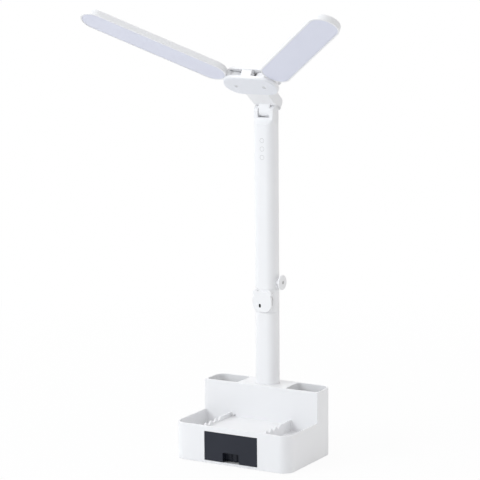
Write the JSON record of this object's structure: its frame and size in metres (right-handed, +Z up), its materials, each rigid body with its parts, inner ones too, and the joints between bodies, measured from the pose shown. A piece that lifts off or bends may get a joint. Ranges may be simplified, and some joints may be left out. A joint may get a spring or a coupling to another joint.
{
  "type": "desk lamp with drawer base",
  "caption": "White desk lamp: two fold-out light wings on a tilting head, a pole with hook knobs, and an organizer base with pen pockets, notched phone rest and black drawer.",
  "frame": {"origin": "centre of the base's footprint on the table, in the plane of the rubber feet's undersides", "axes": "+Z up along the pole; -Y is the front with the drawer and the lamp head; +X to the right seen from the front"},
  "size_m": [0.3834, 0.196, 0.6185],
  "materials": {
    "white_plastic": "fine satin moulded ABS, white",
    "drawer_plastic": "satin moulded ABS, dark grey to black",
    "diffuser_plastic": "frosted acrylic, lamps off",
    "inner_plastic": "plain moulded plastic inside the housing",
    "washer_plastic": "friction washer plastic",
    "foot_rubber": "soft matt rubber",
    "ballast_iron": "blackened plate",
    "screw_steel": "zinc plated",
    "pivot_metal": "satin painted screw heads",
    "cell_steel": "sleeved battery cells",
    "board_green": "circuit board lacquer",
    "led_board_white": "white circuit board with lamps",
    "port_steel": "plated sheet",
    "bush_brass": "turned bush"
  },
  "bodies": {
    "base": {"organizer_shell": "white_plastic", "bottom_cover": "white_plastic", "rubber_feet": "foot_rubber", "cover_screws": "screw_steel", "ballast_plate": "ballast_iron", "runner_left": "white_plastic", "runner_right": "white_plastic", "battery_holder": "inner_plastic", "battery_cells": "cell_steel", "control_board": "board_green", "charging_port": "port_steel", "pole_socket": "inner_plastic", "socket_screws": "screw_steel", "lower_pole": "white_plastic", "pole_collar": "white_plastic", "upper_pole": "white_plastic", "pole_joiner": "inner_plastic", "front_hook": "white_plastic", "side_hook": "white_plastic", "side_hook_screw": "screw_steel", "touch_board": "board_green", "hinge_fork": "white_plastic", "hinge_pin": "screw_steel"},
    "drawer": {"drawer_box": "drawer_plastic", "drawer_front": "drawer_plastic", "drawer_screws": "screw_steel"},
    "head": {"hub_lower_shell": "white_plastic", "hub_upper_shell": "white_plastic", "hub_spacer": "white_plastic", "hub_screws": "screw_steel", "knuckle_bush": "bush_brass", "pivot_screws": "pivot_metal", "pivot_washers": "washer_plastic"},
    "left_wing": {"left_wing_housing": "white_plastic", "left_wing_diffuser": "diffuser_plastic", "left_wing_led_board": "led_board_white", "left_wing_bush": "bush_brass"},
    "right_wing": {"right_wing_housing": "white_plastic", "right_wing_diffuser": "diffuser_plastic", "right_wing_led_board": "led_board_white", "right_wing_bush": "bush_brass"}
  },
  "joints": [
    {"name": "drawer_slide", "type": "slide", "parent": "base", "child": "drawer", "axis": [0, -1, 0], "range_m": [0, 0.06]},
    {"name": "head_tilt", "type": "hinge", "parent": "base", "child": "head", "pos_m": [0, 0.0413, 0.4741], "axis": [1, 0, 0], "range_deg": [-15, 75]},
    {"name": "left_wing_swing", "type": "hinge", "parent": "head", "child": "left_wing", "pos_m": [-0.0215, 0.00391, 0.51907], "axis": [0, 0.5835, 0.8121], "range_deg": [-44.1, 45.9]},
    {"name": "right_wing_swing", "type": "hinge", "parent": "head", "child": "right_wing", "pos_m": [0.0215, 0.00391, 0.51907], "axis": [0, -0.5835, -0.8121], "range_deg": [-44.1, 45.9]}
  ]
}
